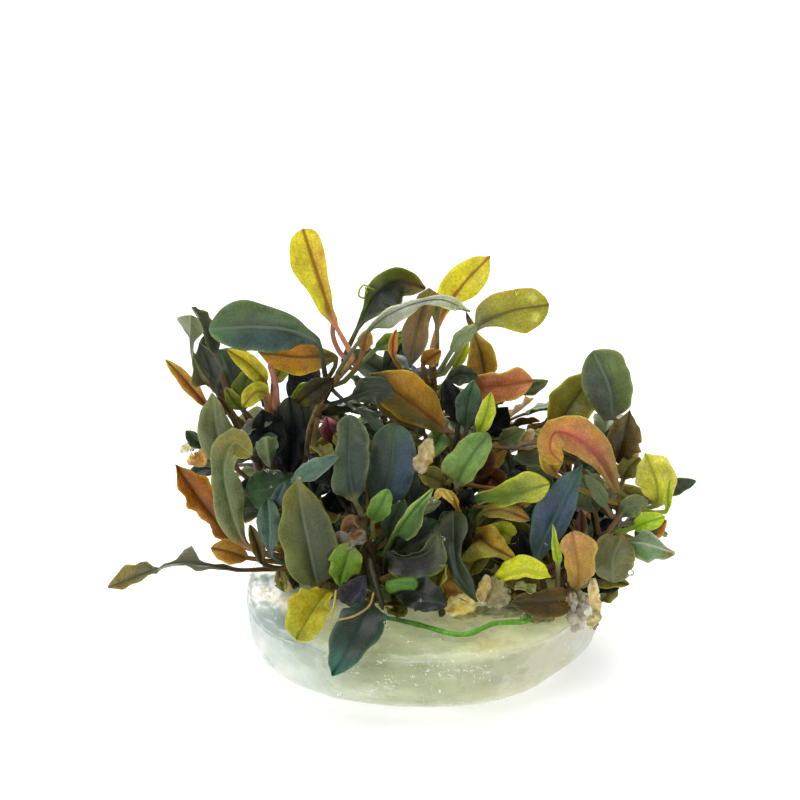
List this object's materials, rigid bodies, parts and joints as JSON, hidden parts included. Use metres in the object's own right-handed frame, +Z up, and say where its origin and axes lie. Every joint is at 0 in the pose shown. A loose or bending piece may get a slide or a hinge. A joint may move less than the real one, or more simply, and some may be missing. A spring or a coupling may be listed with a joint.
{
  "type": "bucephalandra plant",
  "caption": "Clump of bucephalandra with small wavy leaves on creeping stems, standing on a disc of clear gel from tissue culture.",
  "frame": {"origin": "middle of the gel disc's flat underside", "axes": "+Z up out of the gel through the plant, -Y towards the viewer of the front, +X to that viewer's right"},
  "size_m": [0.1164, 0.0787, 0.0837],
  "materials": {
    "gel": "clear, milky, wet",
    "stem": "smooth, brown to green",
    "root": "smooth, fresh green",
    "leaf_dark": "waxy, dark green",
    "leaf_blue": "waxy, blue-green",
    "leaf_green": "waxy, mid green",
    "leaf_grey": "waxy, grey-green",
    "leaf_olive": "waxy, olive",
    "leaf_lime": "waxy, lime green",
    "leaf_yellow": "waxy, yellow",
    "leaf_amber": "waxy, amber to orange"
  },
  "bodies": {
    "root": {"gel_disc": "gel", "leaf_amber_centre": "leaf_amber", "leaf_amber_left": "leaf_amber", "leaf_arching": "leaf_grey", "leaf_back_left": "leaf_grey", "leaf_black_upright": "leaf_blue", "leaf_blue_left": "leaf_blue", "leaf_blue_right": "leaf_blue", "leaf_bright_green": "leaf_green", "leaf_brown_lying": "leaf_olive", "leaf_cupped_dark": "leaf_dark", "leaf_curled_top": "leaf_dark", "leaf_dark_pointed": "leaf_dark", "leaf_dark_top_left": "leaf_dark", "leaf_folded_light": "leaf_lime", "leaf_front_big": "leaf_olive", "leaf_glossy_dark": "leaf_dark", "leaf_hanging_dark": "leaf_dark", "leaf_lime_front": "leaf_lime", "leaf_lime_right": "leaf_lime", "leaf_long_curved": "leaf_dark", "leaf_long_left": "leaf_olive", "leaf_lying_dark": "leaf_dark", "leaf_mid_green": "leaf_green", "leaf_olive_oval": "leaf_olive", "leaf_olive_right": "leaf_olive", "leaf_olive_star": "leaf_olive", "leaf_olive_upright": "leaf_olive", "leaf_orange_front": "leaf_amber", "leaf_orange_left": "leaf_amber", "leaf_orange_right": "leaf_amber", "leaf_over_rim_dark": "leaf_dark", "leaf_over_rim_yellow": "leaf_yellow", "leaf_pale_lime": "leaf_lime", "leaf_pink_folded": "leaf_amber", "leaf_round_centre": "leaf_blue", "leaf_round_olive": "leaf_olive", "leaf_sage_left": "leaf_grey", "leaf_sage_yellow_tip": "leaf_grey", "leaf_tall_yellow": "leaf_yellow", "leaf_twisted_far_left": "leaf_grey", "leaf_twisted_right": "leaf_green", "leaf_upright_centre": "leaf_grey", "leaf_upright_right": "leaf_grey", "leaf_yellow_right": "leaf_yellow", "root": "root", "stem_back": "stem", "stem_back_left": "stem", "stem_back_right": "stem", "stem_centre": "stem", "stem_centre_right": "stem", "stem_far_left": "stem", "stem_front": "stem", "stem_front_left": "stem", "stem_left": "stem", "stem_right": "stem", "stem_right_back": "stem", "stem_right_front": "stem", "stem_top_left": "stem", "stem_top_right": "stem"}
  },
  "joints": []
}
